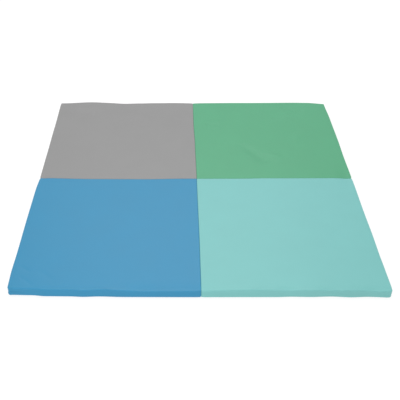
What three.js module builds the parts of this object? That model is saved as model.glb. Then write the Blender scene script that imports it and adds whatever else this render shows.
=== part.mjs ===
// A square padded play mat lying flat on the floor. Four square pads of coated cloth over foam, in
// grey, green, blue and mint, are sewn edge to edge along two seams that cross near the middle.
// Millimetres, +Z up, +Y towards the back, origin on the floor under the middle of the mat.
import * as THREE from "three";

// Driving sizes
const MAT_SIDE = 1473; // 58 in, the whole mat
const MAT_HEIGHT = 39; // 38 mm of foam and the cloth on both its faces
const SEAM_GAP = 0.3; // between the solids of two pads, all along a seam
const CORNER_RADIUS = 10; // of the mat's outer corners, seen from above
const SEWN_CORNER_RADIUS = 1; // of a pad's corners that lie on a seam
const TIGHTEST_RADIUS = 3; // the outer corner gets no tighter as the edge rolls over
const STATIONS = 16; // steps along each side of a pad
const CORNER_STEPS = 5; // steps round an outer corner

const HALF_SIDE = MAT_SIDE / 2;
const HALF_GAP = SEAM_GAP / 2;

// A pad's edge from the floor to its flat top: how far each height lies in from the outer side
// and from the seam. The outer edge rolls over, and the seam sinks into a shallow groove.
const EDGE_PROFILE = [
  { z: 0, outerIn: 4.0, seamIn: 1.6 },
  { z: 1.2, outerIn: 1.6, seamIn: 0.5 },
  { z: 4, outerIn: 0.1, seamIn: HALF_GAP },
  { z: 11, outerIn: 0.0, seamIn: HALF_GAP },
  { z: 19.5, outerIn: 0.3, seamIn: HALF_GAP },
  { z: 28, outerIn: 0.2, seamIn: HALF_GAP },
  { z: 33.5, outerIn: 1.1, seamIn: HALF_GAP },
  { z: 36.6, outerIn: 3.4, seamIn: HALF_GAP },
  { z: 38.3, outerIn: 7.5, seamIn: 2.0 },
  { z: MAT_HEIGHT, outerIn: 15, seamIn: 6.0 },
];

// Rings of the top inside the rolled edge, the same distance in from the outer side and the seam
const TOP_RINGS = [34, 75, 140, 215, 295];

// How far each outer side stands out from the true square, at places along it
const FRONT_SIDE = [
  { along: -736, out: -10 },
  { along: -650, out: -8 },
  { along: -590, out: -2.5 },
  { along: -500, out: -1.5 },
  { along: -450, out: 1 },
  { along: -390, out: -1 },
  { along: -290, out: 1.8 },
  { along: 0, out: 2.5 },
  { along: 290, out: 2 },
  { along: 350, out: 0 },
  { along: 430, out: 1.5 },
  { along: 505, out: -1 },
  { along: 585, out: 3 },
  { along: 645, out: 0.5 },
  { along: 736, out: 4 },
];
const BACK_SIDE = [
  { along: -736, out: -4 },
  { along: -570, out: 2 },
  { along: -470, out: 1 },
  { along: -380, out: -4.5 },
  { along: -300, out: -1.5 },
  { along: -200, out: 2 },
  { along: -110, out: 4 },
  { along: -15, out: 3 },
  { along: 60, out: 4 },
  { along: 250, out: 7 },
  { along: 560, out: 10 },
  { along: 640, out: 9 },
  { along: 736, out: -2 },
];
const LEFT_SIDE = [
  { along: -736, out: -1 },
  { along: -630, out: 2 },
  { along: -530, out: 1.2 },
  { along: -280, out: 2.9 },
  { along: -100, out: 3 },
  { along: 20, out: -1 },
  { along: 180, out: 0 },
  { along: 480, out: 2.2 },
  { along: 736, out: 5.2 },
];
const RIGHT_SIDE = [
  { along: -736, out: 4 },
  { along: -620, out: 3 },
  { along: -530, out: 2 },
  { along: -420, out: 3 },
  { along: -250, out: 1.4 },
  { along: -50, out: 2.2 },
  { along: 200, out: -0.3 },
  { along: 330, out: 1 },
  { along: 560, out: -0.8 },
  { along: 736, out: -6 },
];

// The two seams: the place of the centre seam across the mat, from front to back, and the place of
// the cross seam in depth, from left to right
const CENTRE_SEAM = [
  { along: -736, at: 6.5 },
  { along: -480, at: 6 },
  { along: 0, at: 3 },
  { along: 300, at: 0 },
  { along: 520, at: -4.5 },
  { along: 736, at: -5 },
];
const CROSS_SEAM = [
  { along: -736, at: 4 },
  { along: -470, at: -3.5 },
  { along: -240, at: -4 },
  { along: -50, at: 1.5 },
  { along: 170, at: 2.5 },
  { along: 350, at: 6.5 },
  { along: 736, at: 9 },
];

// Soft rises and hollows of the top, each a round or long swell
const SWELLS = [
  { x: -570, y: 690, reachX: 95, reachY: 80, rise: 6 },
  { x: -400, y: 700, reachX: 90, reachY: 60, rise: -1.2 },
  { x: 575, y: 690, reachX: 110, reachY: 70, rise: 2 },
  { x: 0, y: 720, reachX: 45, reachY: 70, rise: -1.5 },
  { x: 710, y: 10, reachX: 26, reachY: 60, rise: -3 },
  { x: -715, y: 0, reachX: 22, reachY: 50, rise: -1.5 },
  { x: -110, y: -725, reachX: 130, reachY: 30, rise: -2 },
  { x: -600, y: -715, reachX: 90, reachY: 40, rise: 1.2 },
  { x: 150, y: 430, reachX: 60, reachY: 110, rise: -1.2 },
  { x: 330, y: 300, reachX: 90, reachY: 60, rise: 1.2 },
];
const TOP_CROWN = 1; // how much higher the middle of a pad stands than its seams

// A long fold halfway up the front side, where the slack cloth tucks in towards the left corner
const TUCK = { x: -690, reach: 95, z: 18, halfHeight: 8, depth: 3 };

// Where a seam comes over the outer side, it pulls the cloth in a little
const SEAM_NOTCH = { depth: 2.2, reach: 9, fullFromZ: 4 };

// The power by which a side's waviness fades from the side towards the seam across from it
const WAVINESS_FADE = 4;

// The pads, with the quarter of the mat that each fills
const PADS = [
  { name: "pad_grey", right: -1, back: 1, colour: "#9f9f9f" },
  { name: "pad_green", right: 1, back: 1, colour: "#6fb290" },
  { name: "pad_blue", right: -1, back: -1, colour: "#599dc3" },
  { name: "pad_mint", right: 1, back: -1, colour: "#8dcbc8" },
];

// The value of a table's column at a place along it, easing from row to row
function valueAlong(table, column, along) {
  const next = table.findIndex((row) => row.along > along);
  if (next === 0) return table[0][column];
  if (next < 0) return table[table.length - 1][column];
  const low = table[next - 1];
  const high = table[next];
  const share = THREE.MathUtils.smoothstep(along, low.along, high.along);
  return THREE.MathUtils.lerp(low[column], high[column], share);
}

function bell(distance, reach) {
  return Math.exp(-((distance / reach) ** 2));
}

// The outline of a pad's ideal quarter, drawn a given distance in from its outer sides and seams.
// In the quarter's own square, the seams lie along its two near sides and the outer sides are
// HALF_SIDE away. Every outline has the same number of points, so that rings can be joined.
function quarterOutline(outerIn, seamIn) {
  const low = seamIn;
  const high = HALF_SIDE - outerIn;
  const outerRadius = Math.max(CORNER_RADIUS - outerIn, TIGHTEST_RADIUS);
  const corners = [
    { p: low, q: low, radius: SEWN_CORNER_RADIUS, steps: 1 },
    { p: high, q: low, radius: SEWN_CORNER_RADIUS, steps: 1 },
    { p: high, q: high, radius: outerRadius, steps: CORNER_STEPS },
    { p: low, q: high, radius: SEWN_CORNER_RADIUS, steps: 1 },
  ];
  const points = [];
  corners.forEach((corner, i) => {
    const centreP = corner.p + (corner.p === low ? corner.radius : -corner.radius);
    const centreQ = corner.q + (corner.q === low ? corner.radius : -corner.radius);
    const startAngle = Math.PI * (1 + i / 2);
    for (let step = 0; step <= corner.steps; step++) {
      const angle = startAngle + ((Math.PI / 2) * step) / corner.steps;
      points.push({
        p: centreP + corner.radius * Math.cos(angle),
        q: centreQ + corner.radius * Math.sin(angle),
      });
    }
    const from = points[points.length - 1];
    const next = corners[(i + 1) % corners.length];
    const towards = { p: Math.sign(next.p - corner.p), q: Math.sign(next.q - corner.q) };
    const length = Math.abs(next.p - corner.p + next.q - corner.q) - corner.radius - next.radius;
    for (let step = 1; step < STATIONS; step++) {
      const share = (1 - Math.cos((Math.PI * step) / STATIONS)) / 2;
      points.push({
        p: from.p + towards.p * length * share,
        q: from.q + towards.q * length * share,
      });
    }
  });
  return points;
}

// How far a seam draws in the outer sides near its end
function seamNotch(distanceToSeam, z) {
  const lift = Math.min(1, z / SEAM_NOTCH.fullFromZ);
  return SEAM_NOTCH.depth * bell(distanceToSeam, SEAM_NOTCH.reach) * lift;
}

// How far the tuck draws in the front side
function tuckIn(x, z) {
  return TUCK.depth * bell(x - TUCK.x, TUCK.reach) * bell(z - TUCK.z, TUCK.halfHeight);
}

// Height added to the top by the swells and the crown
function riseAt(x, y, p, q) {
  const swells = SWELLS.reduce(
    (sum, s) => sum + s.rise * bell(x - s.x, s.reachX) * bell(y - s.y, s.reachY),
    0,
  );
  const crown = Math.sin((Math.PI * p) / HALF_SIDE) * Math.sin((Math.PI * q) / HALF_SIDE);
  return swells + TOP_CROWN * Math.max(0, crown);
}

// A point of the real pad, from its place (p, q) in the ideal quarter and its height there
function padPoint(pad, p, q, z) {
  const idealX = pad.right * p;
  const idealY = pad.back * q;
  const sideX = pad.right > 0 ? RIGHT_SIDE : LEFT_SIDE;
  const sideY = pad.back > 0 ? BACK_SIDE : FRONT_SIDE;
  const shareP = p / HALF_SIDE;
  const shareQ = q / HALF_SIDE;
  const tuck = pad.back > 0 ? 0 : tuckIn(idealX, z);
  const outX = valueAlong(sideX, "out", idealY) - seamNotch(q, z);
  const outY = valueAlong(sideY, "out", idealX) - seamNotch(p, z) - tuck;
  const x =
    idealX +
    pad.right * outX * shareP ** WAVINESS_FADE +
    valueAlong(CENTRE_SEAM, "at", idealY) * (1 - shareP);
  const y =
    idealY +
    pad.back * outY * shareQ ** WAVINESS_FADE +
    valueAlong(CROSS_SEAM, "at", idealX) * (1 - shareQ);
  return new THREE.Vector3(x, y, z * (1 + riseAt(x, y, p, q) / MAT_HEIGHT));
}

// One closed solid: a ring of points at each height of the edge, rings across the top, and a fan
// to a middle point on the top and on the underside
function padGeometry(pad) {
  const levels = [
    ...EDGE_PROFILE,
    ...TOP_RINGS.map((inset) => ({ z: MAT_HEIGHT, outerIn: inset, seamIn: inset })),
  ];
  const rings = levels.map((level) =>
    quarterOutline(level.outerIn, level.seamIn).map(({ p, q }) => padPoint(pad, p, q, level.z)),
  );
  const count = rings[0].length;
  const points = rings.flat();
  const underMiddle = points.push(padPoint(pad, HALF_SIDE / 2, HALF_SIDE / 2, 0)) - 1;
  const topMiddle = points.push(padPoint(pad, HALF_SIDE / 2, HALF_SIDE / 2, MAT_HEIGHT)) - 1;
  const lastRing = (rings.length - 1) * count;
  // Two of the four quarters are mirror images, so their faces are wound the other way
  const mirrored = pad.right * pad.back < 0;
  const faces = [];
  const addFace = (a, b, c) => faces.push(...(mirrored ? [a, c, b] : [a, b, c]));
  for (let i = 0; i < count; i++) {
    const j = (i + 1) % count;
    addFace(underMiddle, j, i);
    addFace(topMiddle, lastRing + i, lastRing + j);
    for (let ring = 0; ring < rings.length - 1; ring++) {
      const lower = ring * count;
      const upper = lower + count;
      addFace(lower + i, lower + j, upper + j);
      addFace(lower + i, upper + j, upper + i);
    }
  }
  const geometry = new THREE.BufferGeometry().setFromPoints(points);
  geometry.setIndex(faces);
  geometry.computeVertexNormals();
  return geometry;
}

function makePad(pad) {
  const cloth = new THREE.MeshStandardMaterial({
    color: pad.colour,
    roughness: 0.55,
    metalness: 0,
  });
  const mesh = new THREE.Mesh(padGeometry(pad), cloth);
  mesh.name = pad.name;
  return mesh;
}

const mat = new THREE.Group();
mat.name = "play_mat";
PADS.forEach((pad) => mat.add(makePad(pad)));

export default mat;
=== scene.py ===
"""The looks of a padded play mat: four foam pads in coated cloth, sewn edge to edge. Metres."""

import math

import bpy
import numpy as np
from mathutils import Matrix, Vector


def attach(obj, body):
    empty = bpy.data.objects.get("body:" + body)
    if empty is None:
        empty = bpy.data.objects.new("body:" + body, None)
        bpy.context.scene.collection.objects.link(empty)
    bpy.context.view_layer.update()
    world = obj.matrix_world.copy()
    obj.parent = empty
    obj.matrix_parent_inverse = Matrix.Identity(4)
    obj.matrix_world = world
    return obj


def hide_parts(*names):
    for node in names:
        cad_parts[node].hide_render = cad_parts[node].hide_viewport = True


# Driving sizes, the same as the solids'
MAT_SIDE = 1.473
MAT_HEIGHT = 0.039
HALF_SIDE = MAT_SIDE / 2
HALF_GAP = 0.00015

# The rounded edges of a pad: the roll from its side to its top, the foot by the floor, and the
# groove along a seam. Fullness is the power of the curve, where 2 is a plain ellipse. Along a
# seam the foot is narrower, by the share given.
ROLL = dict(width=0.005, height=0.0042, fullness=2.1)
FOOT = dict(width=0.004, height=0.004, fullness=2.0)
GROOVE = dict(width=0.0028, height=0.0016, fullness=2.0)
FOOT_SHARE_AT_SEAM = 0.5

# The radius of a pad's corners, seen from above: at the mat's own corner, where a seam ends at the
# mat's edge, and where the seams cross
OUTER_RADIUS = 0.010
SEWN_RADIUS = 0.0025
CROSSING_RADIUS = 0.0015

# The underside is one flat face, this far inside the pad's edge
FLAT_FOOT_IN = 0.012

# The thread draws the mat's side in where a seam ends there
SEAM_NOTCH = dict(depth=0.0022, reach=0.009, full_from_z=0.004)

# The unevenness of an outer side fades towards the seam, by this power of the way out from it
WAVINESS_FADE = 4

# The thread draws the cloth up in small puckers along a seam. They wander out of step, and their
# height swings round its mean.
PUCKER = dict(height=0.00018, length=0.027, reach=0.011)
PUCKER_WANDER = dict(turn=1.3, length=0.19)
PUCKER_HEIGHTS = dict(mean=0.7, swing=0.3, length=0.437)

# How finely a pad is meshed
STATIONS = 232
END_CROWDING = 0.6
FOOT_RINGS = 5
SIDE_RINGS = 22
ROLL_RINGS = 9

# How far each outer side stands out from the true square, at places along it
FRONT_SIDE = [
    dict(along=-0.736, at=-0.010),
    dict(along=-0.650, at=-0.008),
    dict(along=-0.590, at=-0.0025),
    dict(along=-0.500, at=-0.0015),
    dict(along=-0.450, at=0.001),
    dict(along=-0.390, at=-0.001),
    dict(along=-0.290, at=0.0018),
    dict(along=0.000, at=0.0025),
    dict(along=0.290, at=0.002),
    dict(along=0.350, at=0.000),
    dict(along=0.430, at=0.0015),
    dict(along=0.505, at=-0.001),
    dict(along=0.585, at=0.003),
    dict(along=0.645, at=0.0005),
    dict(along=0.736, at=0.004),
]
BACK_SIDE = [
    dict(along=-0.736, at=-0.004),
    dict(along=-0.570, at=0.002),
    dict(along=-0.470, at=0.001),
    dict(along=-0.380, at=-0.0045),
    dict(along=-0.300, at=-0.0015),
    dict(along=-0.200, at=0.002),
    dict(along=-0.110, at=0.004),
    dict(along=-0.015, at=0.003),
    dict(along=0.060, at=0.004),
    dict(along=0.250, at=0.007),
    dict(along=0.560, at=0.010),
    dict(along=0.640, at=0.009),
    dict(along=0.736, at=-0.002),
]
LEFT_SIDE = [
    dict(along=-0.736, at=-0.001),
    dict(along=-0.630, at=0.002),
    dict(along=-0.530, at=0.0012),
    dict(along=-0.280, at=0.0029),
    dict(along=-0.100, at=0.003),
    dict(along=0.020, at=-0.001),
    dict(along=0.180, at=0.000),
    dict(along=0.480, at=0.0022),
    dict(along=0.736, at=0.0052),
]
RIGHT_SIDE = [
    dict(along=-0.736, at=0.004),
    dict(along=-0.620, at=0.003),
    dict(along=-0.530, at=0.002),
    dict(along=-0.420, at=0.003),
    dict(along=-0.250, at=0.0014),
    dict(along=-0.050, at=0.0022),
    dict(along=0.200, at=-0.0003),
    dict(along=0.330, at=0.001),
    dict(along=0.560, at=-0.0008),
    dict(along=0.736, at=-0.006),
]

# The centre seam's place across the mat, from front to back, and the cross seam's place in depth
CENTRE_SEAM = [
    dict(along=-0.736, at=0.0065),
    dict(along=-0.480, at=0.006),
    dict(along=0.000, at=0.003),
    dict(along=0.300, at=0.000),
    dict(along=0.520, at=-0.0045),
    dict(along=0.736, at=-0.005),
]
CROSS_SEAM = [
    dict(along=-0.736, at=0.004),
    dict(along=-0.470, at=-0.0035),
    dict(along=-0.240, at=-0.004),
    dict(along=-0.050, at=0.0015),
    dict(along=0.170, at=0.0025),
    dict(along=0.350, at=0.0065),
    dict(along=0.736, at=0.009),
]

# The line of the top's front edge, where its waves are
FRONT_Y = -0.735

# Soft rises and hollows of the top
SWELLS = [
    # The back corners
    dict(x=-0.570, y=0.690, reach_x=0.095, reach_y=0.080, rise=0.006),
    dict(x=-0.400, y=0.700, reach_x=0.090, reach_y=0.060, rise=-0.0012),
    dict(x=0.575, y=0.690, reach_x=0.110, reach_y=0.070, rise=0.002),
    # The ends of the seams, at the back, the right and the left
    dict(x=0.000, y=0.720, reach_x=0.045, reach_y=0.070, rise=-0.0015),
    dict(x=0.710, y=0.010, reach_x=0.026, reach_y=0.060, rise=-0.003),
    dict(x=-0.715, y=0.000, reach_x=0.022, reach_y=0.050, rise=-0.0015),
    # The whole front edge
    dict(x=0.000, y=FRONT_Y, reach_x=1.200, reach_y=0.050, rise=-0.0011),
    # The waves along the front edge, from left to right
    dict(x=-0.640, y=FRONT_Y, reach_x=0.040, reach_y=0.014, rise=-0.0013),
    dict(x=-0.600, y=FRONT_Y, reach_x=0.160, reach_y=0.014, rise=-0.0030),
    dict(x=-0.450, y=FRONT_Y, reach_x=0.050, reach_y=0.014, rise=-0.0008),
    dict(x=-0.370, y=FRONT_Y, reach_x=0.060, reach_y=0.014, rise=-0.0015),
    dict(x=-0.358, y=FRONT_Y, reach_x=0.026, reach_y=0.014, rise=0.0028),
    dict(x=-0.225, y=FRONT_Y, reach_x=0.045, reach_y=0.014, rise=-0.0019),
    dict(x=-0.150, y=FRONT_Y, reach_x=0.130, reach_y=0.024, rise=-0.0060),
    dict(x=0.005, y=FRONT_Y, reach_x=0.055, reach_y=0.020, rise=-0.0030),
    dict(x=0.212, y=FRONT_Y, reach_x=0.045, reach_y=0.030, rise=0.0028),
    dict(x=0.237, y=FRONT_Y, reach_x=0.018, reach_y=0.014, rise=-0.0012),
    dict(x=0.345, y=FRONT_Y, reach_x=0.045, reach_y=0.014, rise=-0.0050),
    dict(x=0.489, y=FRONT_Y, reach_x=0.020, reach_y=0.014, rise=-0.0016),
    dict(x=0.520, y=FRONT_Y, reach_x=0.080, reach_y=0.014, rise=-0.0038),
    dict(x=0.560, y=FRONT_Y, reach_x=0.024, reach_y=0.014, rise=0.0014),
    dict(x=0.660, y=FRONT_Y, reach_x=0.030, reach_y=0.014, rise=-0.0014),
    dict(x=0.690, y=FRONT_Y, reach_x=0.070, reach_y=0.014, rise=-0.0052),
]

# How much higher the middle of each pad lies than its edges
TOP_CROWN = 0.001

# The top rises a little at its front edge, where the cloth turns over the foam
FRONT_LIP = dict(height=0.0009, at_q=0.7355, reach=0.010)

# Creases of the cloth: soft troughs between two points on the mat. Where depth is below zero the
# crease is a ridge.
CREASES = [
    # Folds round the front left corner
    dict(start=(-0.741, -0.695, 0.018), end=(-0.737, -0.729, 0.017), reach=0.0030, depth=0.0026),
    dict(start=(-0.741, -0.725, 0.017), end=(-0.600, -0.738, 0.015), reach=0.0026, depth=0.0044),
    dict(start=(-0.728, -0.732, 0.031), end=(-0.560, -0.740, 0.029), reach=0.0024, depth=0.0030),
    dict(start=(-0.740, -0.700, 0.006), end=(-0.722, -0.733, 0.006), reach=0.0060, depth=-0.0030),
    dict(start=(-0.560, -0.740, 0.018), end=(-0.470, -0.742, 0.013), reach=0.0035, depth=0.0016),
    # Folds round the front right corner
    dict(start=(0.738, -0.715, 0.006), end=(0.718, -0.742, 0.006), reach=0.0060, depth=-0.0030),
    dict(start=(0.690, -0.742, 0.017), end=(0.735, -0.738, 0.014), reach=0.0030, depth=0.0010),
    dict(start=(0.712, -0.741, 0.034), end=(0.716, -0.741, 0.014), reach=0.0040, depth=0.0010),
    # Slack in the top near the front left corner
    dict(start=(-0.700, -0.660, 0.039), end=(-0.640, -0.715, 0.039), reach=0.008, depth=0.0006),
    dict(start=(-0.715, -0.600, 0.039), end=(-0.660, -0.640, 0.039), reach=0.009, depth=0.0006),
    dict(start=(-0.640, -0.620, 0.039), end=(-0.560, -0.690, 0.039), reach=0.012, depth=0.0006),
    # Slack in the green top
    dict(start=(0.235, 0.305, 0.040), end=(0.352, 0.135, 0.040), reach=0.028, depth=0.0036),
    dict(start=(0.350, 0.240, 0.040), end=(0.430, 0.170, 0.040), reach=0.020, depth=-0.0014),
    dict(start=(0.060, 0.500, 0.040), end=(0.130, 0.512, 0.040), reach=0.026, depth=0.0020),
    dict(start=(0.420, 0.560, 0.040), end=(0.500, 0.610, 0.040), reach=0.028, depth=0.0018),
    dict(start=(0.515, 0.300, 0.040), end=(0.530, 0.420, 0.040), reach=0.018, depth=-0.0012),
    dict(start=(0.350, 0.640, 0.040), end=(0.345, 0.710, 0.040), reach=0.020, depth=-0.0010),
    dict(start=(0.480, 0.690, 0.040), end=(0.600, 0.640, 0.040), reach=0.022, depth=0.0016),
    # Slack in the grey top
    dict(start=(-0.650, 0.640, 0.041), end=(-0.540, 0.630, 0.041), reach=0.040, depth=0.0024),
    dict(start=(-0.380, 0.540, 0.040), end=(-0.260, 0.530, 0.040), reach=0.020, depth=0.0010),
    dict(start=(-0.100, 0.300, 0.040), end=(-0.030, 0.255, 0.040), reach=0.014, depth=0.0009),
    dict(start=(-0.120, 0.580, 0.040), end=(-0.050, 0.560, 0.040), reach=0.016, depth=0.0009),
]

# The pads: the node that each stands for and the quarter of the mat that it fills
PADS = [
    dict(piece="grey_pad", node="pad_grey", slot="grey_cloth", right=-1, back=1),
    dict(piece="green_pad", node="pad_green", slot="green_cloth", right=1, back=1),
    dict(piece="blue_pad", node="pad_blue", slot="blue_cloth", right=-1, back=-1),
    dict(piece="mint_pad", node="pad_mint", slot="mint_cloth", right=1, back=-1),
]

# The colour of each slot's cloth
CLOTH_COLOURS = dict(
    grey_cloth=(0.228, 0.228, 0.228),
    green_cloth=(0.071, 0.320, 0.172),
    blue_cloth=(0.020, 0.216, 0.387),
    mint_cloth=(0.160, 0.442, 0.427),
)

# The finish of the cloth: a slow noise makes its colour and its roughness a little uneven, and
# fine pebbles are the grain of its coating
UNEVENNESS = dict(scale=9, detail=3, low=0.3, high=0.7, tint=0.015)
ROUGHNESS = dict(least=0.40, most=0.46)
SPECULAR_LEVEL = 0.39
PEBBLES = dict(scale=900, smoothness=0.6, strength=0.2, height=0.0002)

# The floor: wide, just under the mat, and aglow so that it stays white
FLOOR = dict(half_size=30, drop=0.0004, grey=0.2, roughness=0.9, glow=0.8)

# The studio: even light from all round, and soft rectangular lamps with their power in watts
STUDIO_LEVEL = 0.73
LAMPS = [
    dict(name="overhead", place=(-0.15, -0.20, 4.2), aim=(-0.15, -0.20, 0), size=(2.8, 2.8), power=54),
    dict(name="bank_behind", place=(-0.15, 2.17, 3.05), aim=(-0.15, -0.15, 0), size=(3.0, 2.4), power=43),
    dict(name="fill_in_front", place=(-0.9, -2.6, 1.0), aim=(-0.4, -0.7, 0), size=(2.2, 1.5), power=12.5),
    dict(name="low_fill", place=(-0.30, -1.7, 0.35), aim=(-0.30, -0.74, 0.02), size=(1.4, 0.5), power=1.8),
]

# The camera, at the photograph's angle
CAMERA_PLACE = Vector((-0.0727, -2.5258, 1.8158))
CAMERA_PITCH = math.radians(36.984)
CAMERA_YAW = math.radians(0.697)
CAMERA_ROLL = math.radians(0.515)
CAMERA_LENS_MM = 58.97
CAMERA_SENSOR_MM = 36
CAMERA_SHIFT = 0.0325
CAMERA_SEES_TO = 100


def value_along(table, places):
    """The table's value at each place along it, easing from row to row."""
    along = np.array([row["along"] for row in table])
    at = np.array([row["at"] for row in table])
    low = np.clip(np.searchsorted(along, places, side="right") - 1, 0, len(along) - 2)
    share = np.clip((places - along[low]) / (along[low + 1] - along[low]), 0, 1)
    ease = share * share * (3 - 2 * share)
    return at[low] + (at[low + 1] - at[low]) * ease


def bell(distance, reach):
    """A soft bump: 1 at no distance, and 0.37 at its reach."""
    return np.exp(-((distance / reach) ** 2))


def curve_in(share, edge):
    """How far in a rounded edge lies, where share goes from 0 at its foot to 1 at its end."""
    fullness = edge["fullness"]
    return edge["width"] * (1 - (1 - np.clip(share, 0, 1) ** fullness) ** (1 / fullness))


def pad_levels():
    """The rings of a pad's edge, from the underside to the top: height, how far in from the outer
    side and from the seam, and how rounded the pad's corners are."""
    foot_angle = np.linspace(0, math.pi / 2, FOOT_RINGS)
    foot_z = FOOT["height"] * (1 - np.cos(foot_angle))
    side_z = np.linspace(FOOT["height"], MAT_HEIGHT - ROLL["height"], SIDE_RINGS + 1)[1:]
    roll_angle = np.linspace(0, math.pi / 2, ROLL_RINGS + 1)[1:]
    roll_z = MAT_HEIGHT - ROLL["height"] * (1 - np.sin(roll_angle) ** (2 / ROLL["fullness"]))
    z = np.concatenate([foot_z, side_z, roll_z])
    foot_in = curve_in(1 - z / FOOT["height"], FOOT)
    roll_in = curve_in(1 - (MAT_HEIGHT - z) / ROLL["height"], ROLL)
    groove_in = curve_in(1 - (MAT_HEIGHT - z) / GROOVE["height"], GROOVE)
    flatness = roll_in / ROLL["width"]
    levels = [
        dict(
            z=z[i],
            outer_in=foot_in[i] + roll_in[i],
            seam_in=HALF_GAP + groove_in[i] + foot_in[i] * FOOT_SHARE_AT_SEAM,
            outer_radius=OUTER_RADIUS * (1 - flatness[i]),
            sewn_radius=SEWN_RADIUS * (1 - flatness[i]),
            crossing_radius=CROSSING_RADIUS * (1 - flatness[i]),
        )
        for i in range(len(z))
    ]
    flat_foot = dict(
        z=0.0,
        outer_in=FLAT_FOOT_IN,
        seam_in=FLAT_FOOT_IN,
        outer_radius=0.0,
        sewn_radius=0.0,
        crossing_radius=0.0,
    )
    return [flat_foot] + levels


def station_shares():
    """Places along a side from 0 to 1, closer together towards both ends."""
    even = np.linspace(0, 1, STATIONS + 1)
    crowded = (1 - np.cos(math.pi * even)) / 2
    return even + (crowded - even) * END_CROWDING


def rounded(p, q, corner_p, corner_q, radius):
    """Points on two sides that meet at a corner, moved onto the corner's arc."""
    if radius <= 0:
        return p, q
    away_p = np.abs(p - corner_p)
    away_q = np.abs(q - corner_q)
    away = np.maximum(away_p, away_q)
    near = away < radius
    swing = np.where(away_p < away_q, -1, 1) * (math.pi / 4) * np.clip(away / radius, 0, 1)
    angle = math.pi / 4 + swing
    middle = HALF_SIDE / 2
    sign_p = 1 if corner_p > middle else -1
    sign_q = 1 if corner_q > middle else -1
    arc_p = corner_p - sign_p * radius * (1 - np.cos(angle))
    arc_q = corner_q - sign_q * radius * (1 - np.sin(angle))
    return np.where(near, arc_p, p), np.where(near, arc_q, q)


def ring(level, shares):
    """One ring round a quarter of the ideal mat, as the coordinates (p, q) away from the seams."""
    low = level["seam_in"]
    high = HALF_SIDE - level["outer_in"]
    run = low + (high - low) * shares[:-1]
    back_run = high - (high - low) * shares[:-1]
    lows = np.full(STATIONS, low)
    highs = np.full(STATIONS, high)
    p = np.concatenate([run, highs, back_run, lows])
    q = np.concatenate([lows, run, highs, back_run])
    p, q = rounded(p, q, low, low, level["crossing_radius"])
    p, q = rounded(p, q, high, low, level["sewn_radius"])
    p, q = rounded(p, q, low, high, level["sewn_radius"])
    return rounded(p, q, high, high, level["outer_radius"])


def seam_notch(distance_to_seam, z):
    """How far the mat's side is drawn in, near the end of a seam."""
    lift = np.clip(z / SEAM_NOTCH["full_from_z"], 0, 1)
    return SEAM_NOTCH["depth"] * bell(distance_to_seam, SEAM_NOTCH["reach"]) * lift


def pucker(along, distance):
    """The small waves of the cloth along a seam, at a distance from it."""
    turns = 2 * math.pi * along
    wander = PUCKER_WANDER["turn"] * np.sin(turns / PUCKER_WANDER["length"])
    wave = np.sin(turns / PUCKER["length"] + wander)
    swing = PUCKER_HEIGHTS["swing"] * np.sin(turns / PUCKER_HEIGHTS["length"])
    height = PUCKER["height"] * (PUCKER_HEIGHTS["mean"] + swing)
    return height * wave * bell(distance, PUCKER["reach"])


def rise_at(x, y, p, q):
    """Height that the swells, the front lip, the pad's crown and the puckers add to the top."""
    rise = np.zeros_like(x)
    for swell in SWELLS:
        round_x = bell(x - swell["x"], swell["reach_x"])
        rise += swell["rise"] * round_x * bell(y - swell["y"], swell["reach_y"])
    crown = np.sin(math.pi * p / HALF_SIDE) * np.sin(math.pi * q / HALF_SIDE)
    lip = np.where(y < 0, FRONT_LIP["height"] * bell(q - FRONT_LIP["at_q"], FRONT_LIP["reach"]), 0)
    return rise + lip + TOP_CROWN * np.clip(crown, 0, 1) + pucker(x, q) + pucker(y, p)


def placed(pad, p, q, z):
    """Points of the real pad, from their places in the ideal quarter and their heights there."""
    ideal_x = pad["right"] * p
    ideal_y = pad["back"] * q
    side_x = RIGHT_SIDE if pad["right"] > 0 else LEFT_SIDE
    side_y = BACK_SIDE if pad["back"] > 0 else FRONT_SIDE
    share_p = p / HALF_SIDE
    share_q = q / HALF_SIDE
    out_x = value_along(side_x, ideal_y) - seam_notch(q, z)
    out_y = value_along(side_y, ideal_x) - seam_notch(p, z)
    wave_x = pad["right"] * out_x * share_p ** WAVINESS_FADE
    wave_y = pad["back"] * out_y * share_q ** WAVINESS_FADE
    x = ideal_x + wave_x + value_along(CENTRE_SEAM, ideal_y) * (1 - share_p)
    y = ideal_y + wave_y + value_along(CROSS_SEAM, ideal_x) * (1 - share_q)
    return np.stack([x, y, z * (1 + rise_at(x, y, p, q) / MAT_HEIGHT)], axis=-1)


def side_faces(rings):
    """The faces between each ring of points and the next."""
    lower = rings[:-1]
    upper = rings[1:]
    corners = [lower, np.roll(lower, -1, axis=1), np.roll(upper, -1, axis=1), upper]
    return np.stack(corners, axis=-1).reshape(-1, 4).tolist()


def top_faces(border, inner):
    """The faces of the top's square grid, which has the highest ring as its border."""
    grid = np.empty((STATIONS + 1, STATIONS + 1), int)
    grid[1:-1, 1:-1] = inner
    grid[:-1, 0] = border[:STATIONS]
    grid[-1, :-1] = border[STATIONS : 2 * STATIONS]
    grid[:0:-1, -1] = border[2 * STATIONS : 3 * STATIONS]
    grid[0, :0:-1] = border[3 * STATIONS :]
    corners = [grid[:-1, :-1], grid[1:, :-1], grid[1:, 1:], grid[:-1, 1:]]
    return np.stack(corners, axis=-1).reshape(-1, 4).tolist()


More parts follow.
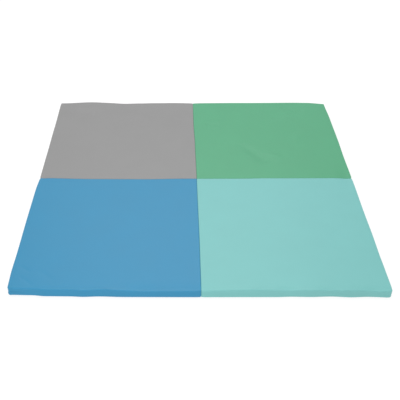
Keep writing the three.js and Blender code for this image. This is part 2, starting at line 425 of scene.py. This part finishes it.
def pad_points_and_faces(pad):
    """The pad's points and faces: one flat face on the underside, the rings of the edge, and a
    square grid on the top."""
    shares = station_shares()
    levels = pad_levels()
    points = []
    for level in levels:
        p, q = ring(level, shares)
        points.append(placed(pad, p, q, np.full(len(p), level["z"])))
    top = levels[-1]
    low = top["seam_in"]
    high = HALF_SIDE - top["outer_in"]
    line = low + (high - low) * shares[1:-1]
    p, q = np.meshgrid(line, line, indexing="ij")
    points.append(placed(pad, p.ravel(), q.ravel(), np.full(p.size, top["z"])))
    rings = np.arange(len(levels) * 4 * STATIONS).reshape(len(levels), 4 * STATIONS)
    inner = np.arange(rings.size, rings.size + p.size).reshape(p.shape)
    faces = side_faces(rings) + top_faces(rings[-1], inner) + [rings[0][::-1].tolist()]
    if pad["right"] * pad["back"] < 0:
        faces = [face[::-1] for face in faces]
    return np.concatenate(points), faces


def mesh_object(name, points, faces):
    mesh = bpy.data.meshes.new(name)
    mesh.from_pydata(points.tolist(), [], faces)
    mesh.shade_smooth()
    mesh.update()
    piece = bpy.data.objects.new(name, mesh)
    bpy.context.scene.collection.objects.link(piece)
    return piece


def distance_to_line(points, start, end):
    """Each point's distance to the line from start to end, and its share of the way along it."""
    start = np.array(start)
    way = np.array(end) - start
    share = np.clip((points - start) @ way / (way @ way), 0, 1)
    return np.linalg.norm(points - start - share[:, None] * way, axis=1), share


def crease_depth(points):
    """How far the creases press each point in. A crease fades out at both its ends."""
    depth = np.zeros(len(points))
    for crease in CREASES:
        distance, share = distance_to_line(points, crease["start"], crease["end"])
        depth += crease["depth"] * bell(distance, crease["reach"]) * np.sin(math.pi * share) ** 0.5
    return depth


def press_in_creases(piece):
    """Moves the piece's points along their normals by the creases of its cloth."""
    mesh = piece.data
    count = len(mesh.vertices)
    points = np.empty(count * 3)
    normals = np.empty(count * 3)
    mesh.vertices.foreach_get("co", points)
    mesh.vertices.foreach_get("normal", normals)
    points = points.reshape(-1, 3)
    normals = normals.reshape(-1, 3)
    off_floor = np.clip(points[:, 2] / FOOT["height"], 0, 1)
    points -= normals * (crease_depth(points) * off_floor)[:, None]
    mesh.vertices.foreach_set("co", points.ravel())
    mesh.update()


def coated_cloth(name, colour):
    """Matt coated cloth with a fine pebbled grain and a faint unevenness of colour."""
    material = bpy.data.materials.new(name)
    material.use_nodes = True
    nodes = material.node_tree.nodes
    links = material.node_tree.links
    shader = nodes["Principled BSDF"]
    place = nodes.new("ShaderNodeTexCoord")

    unevenness = nodes.new("ShaderNodeTexNoise")
    unevenness.inputs["Scale"].default_value = UNEVENNESS["scale"]
    unevenness.inputs["Detail"].default_value = UNEVENNESS["detail"]
    links.new(place.outputs["Object"], unevenness.inputs["Vector"])
    tint = nodes.new("ShaderNodeValToRGB")
    darker, lighter = tint.color_ramp.elements
    darker.position = UNEVENNESS["low"]
    darker.color = [c * (1 - UNEVENNESS["tint"]) for c in colour] + [1]
    lighter.position = UNEVENNESS["high"]
    lighter.color = [c * (1 + UNEVENNESS["tint"]) for c in colour] + [1]
    links.new(unevenness.outputs["Fac"], tint.inputs["Fac"])
    links.new(tint.outputs["Color"], shader.inputs["Base Color"])

    gloss = nodes.new("ShaderNodeMapRange")
    gloss.inputs["To Min"].default_value = ROUGHNESS["least"]
    gloss.inputs["To Max"].default_value = ROUGHNESS["most"]
    links.new(unevenness.outputs["Fac"], gloss.inputs["Value"])
    links.new(gloss.outputs["Result"], shader.inputs["Roughness"])
    shader.inputs["Specular IOR Level"].default_value = SPECULAR_LEVEL

    pebbles = nodes.new("ShaderNodeTexVoronoi")
    pebbles.feature = "SMOOTH_F1"
    pebbles.inputs["Scale"].default_value = PEBBLES["scale"]
    pebbles.inputs["Smoothness"].default_value = PEBBLES["smoothness"]
    links.new(place.outputs["Object"], pebbles.inputs["Vector"])
    grain = nodes.new("ShaderNodeBump")
    grain.inputs["Strength"].default_value = PEBBLES["strength"]
    grain.inputs["Distance"].default_value = PEBBLES["height"]
    links.new(pebbles.outputs["Distance"], grain.inputs["Height"])
    links.new(grain.outputs["Normal"], shader.inputs["Normal"])
    return material


def make_pad(pad):
    points, faces = pad_points_and_faces(pad)
    piece = mesh_object(pad["piece"], points, faces)
    press_in_creases(piece)
    piece.data.materials.append(coated_cloth(pad["slot"] + "_finish", CLOTH_COLOURS[pad["slot"]]))
    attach(piece, "root")
    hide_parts(pad["node"])


def make_floor():
    half = FLOOR["half_size"]
    z = -FLOOR["drop"]
    corners = np.array([[-half, -half, z], [half, -half, z], [half, half, z], [-half, half, z]])
    floor = mesh_object("floor", corners, [[0, 1, 2, 3]])
    material = bpy.data.materials.new("floor_white")
    material.use_nodes = True
    shader = material.node_tree.nodes["Principled BSDF"]
    shader.inputs["Base Color"].default_value = (FLOOR["grey"], FLOOR["grey"], FLOOR["grey"], 1)
    shader.inputs["Roughness"].default_value = FLOOR["roughness"]
    shader.inputs["Emission Color"].default_value = (1, 1, 1, 1)
    shader.inputs["Emission Strength"].default_value = FLOOR["glow"]
    floor.data.materials.append(material)


def make_lamp(lamp):
    data = bpy.data.lights.new(lamp["name"], "AREA")
    data.shape = "RECTANGLE"
    data.size = lamp["size"][0]
    data.size_y = lamp["size"][1]
    data.energy = lamp["power"]
    light = bpy.data.objects.new(lamp["name"], data)
    light.location = lamp["place"]
    way = Vector(lamp["aim"]) - Vector(lamp["place"])
    light.rotation_euler = way.to_track_quat("-Z", "Y").to_euler()
    light.visible_camera = False
    bpy.context.scene.collection.objects.link(light)


def make_studio():
    world = bpy.data.worlds.new("studio")
    world.use_nodes = True
    background = world.node_tree.nodes["Background"]
    background.inputs["Color"].default_value = (1, 1, 1, 1)
    background.inputs["Strength"].default_value = STUDIO_LEVEL
    bpy.context.scene.world = world
    for lamp in LAMPS:
        make_lamp(lamp)


def make_camera():
    forward = Vector(
        (
            math.sin(CAMERA_YAW) * math.cos(CAMERA_PITCH),
            math.cos(CAMERA_YAW) * math.cos(CAMERA_PITCH),
            -math.sin(CAMERA_PITCH),
        )
    )
    level_right = Vector((math.cos(CAMERA_YAW), -math.sin(CAMERA_YAW), 0))
    level_up = level_right.cross(forward)
    right = level_right * math.cos(CAMERA_ROLL) + level_up * math.sin(CAMERA_ROLL)
    up = level_up * math.cos(CAMERA_ROLL) - level_right * math.sin(CAMERA_ROLL)
    turn = Matrix((right, up, -forward)).transposed()
    data = bpy.data.cameras.new("camera")
    data.sensor_width = CAMERA_SENSOR_MM
    data.lens = CAMERA_LENS_MM
    data.shift_x = CAMERA_SHIFT
    data.clip_end = CAMERA_SEES_TO
    camera = bpy.data.objects.new("camera", data)
    camera.matrix_world = Matrix.Translation(CAMERA_PLACE) @ turn.to_4x4()
    bpy.context.scene.collection.objects.link(camera)
    bpy.context.scene.camera = camera


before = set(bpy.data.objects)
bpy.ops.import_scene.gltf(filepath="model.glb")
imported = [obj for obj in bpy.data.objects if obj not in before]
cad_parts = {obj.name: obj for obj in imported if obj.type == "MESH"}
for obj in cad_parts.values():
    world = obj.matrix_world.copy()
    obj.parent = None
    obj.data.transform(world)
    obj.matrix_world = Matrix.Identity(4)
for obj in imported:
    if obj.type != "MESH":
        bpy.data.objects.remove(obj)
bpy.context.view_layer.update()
make_camera()
for pad in PADS:
    make_pad(pad)
make_floor()
make_studio()
bpy.context.scene.view_settings.view_transform = "Standard"
